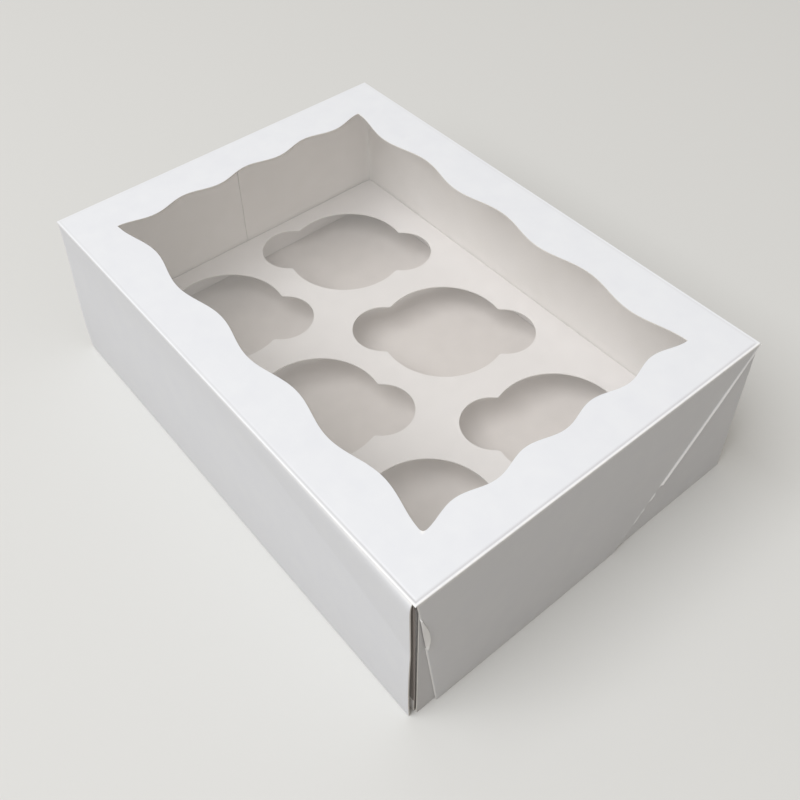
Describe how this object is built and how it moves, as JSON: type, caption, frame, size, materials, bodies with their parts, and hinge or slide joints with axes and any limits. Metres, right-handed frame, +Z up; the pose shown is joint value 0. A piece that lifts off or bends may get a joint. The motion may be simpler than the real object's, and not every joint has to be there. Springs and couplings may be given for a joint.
{
  "type": "cupcake box",
  "caption": "Low folded white card box with a hinged lid, a clear window with wavy edges, flaps that hang outside the tray and a cup insert.",
  "frame": {"origin": "middle of the underside, on the surface the box stands on", "axes": "+X along the lid's hinge, +Y from the front flap to the hinge, +Z up"},
  "size_m": [0.24, 0.172, 0.076],
  "materials": {
    "coated_board": "satin coated white board",
    "inside_board": "uncoated warm white board",
    "insert_board": "uncoated warm white board",
    "clear_film": "clear window film"
  },
  "bodies": {
    "base": {"base_tray": "inside_board", "cupcake_insert": "insert_board"},
    "lid": {"lid_panel": "coated_board", "window_film": "clear_film"},
    "front_flap": {"front_flap": "coated_board"},
    "left_side_flap": {"side_flap_left": "coated_board"},
    "right_side_flap": {"side_flap_right": "coated_board"}
  },
  "joints": [
    {"name": "lid_hinge", "type": "hinge", "parent": "base", "child": "lid", "pos_m": [0, 0.086, 0.076], "axis": [-1, 0, 0], "range_deg": [0, 195]},
    {"name": "front_flap_fold", "type": "hinge", "parent": "lid", "child": "front_flap", "pos_m": [0, -0.084, 0.076], "axis": [-1, 0, 0], "range_deg": [0, 90]},
    {"name": "left_flap_fold", "type": "hinge", "parent": "lid", "child": "left_side_flap", "pos_m": [-0.12, 0, 0.076], "axis": [0, 1, 0], "range_deg": [0, 90]},
    {"name": "right_flap_fold", "type": "hinge", "parent": "lid", "child": "right_side_flap", "pos_m": [0.12, 0, 0.076], "axis": [0, -1, 0], "range_deg": [0, 90]}
  ]
}
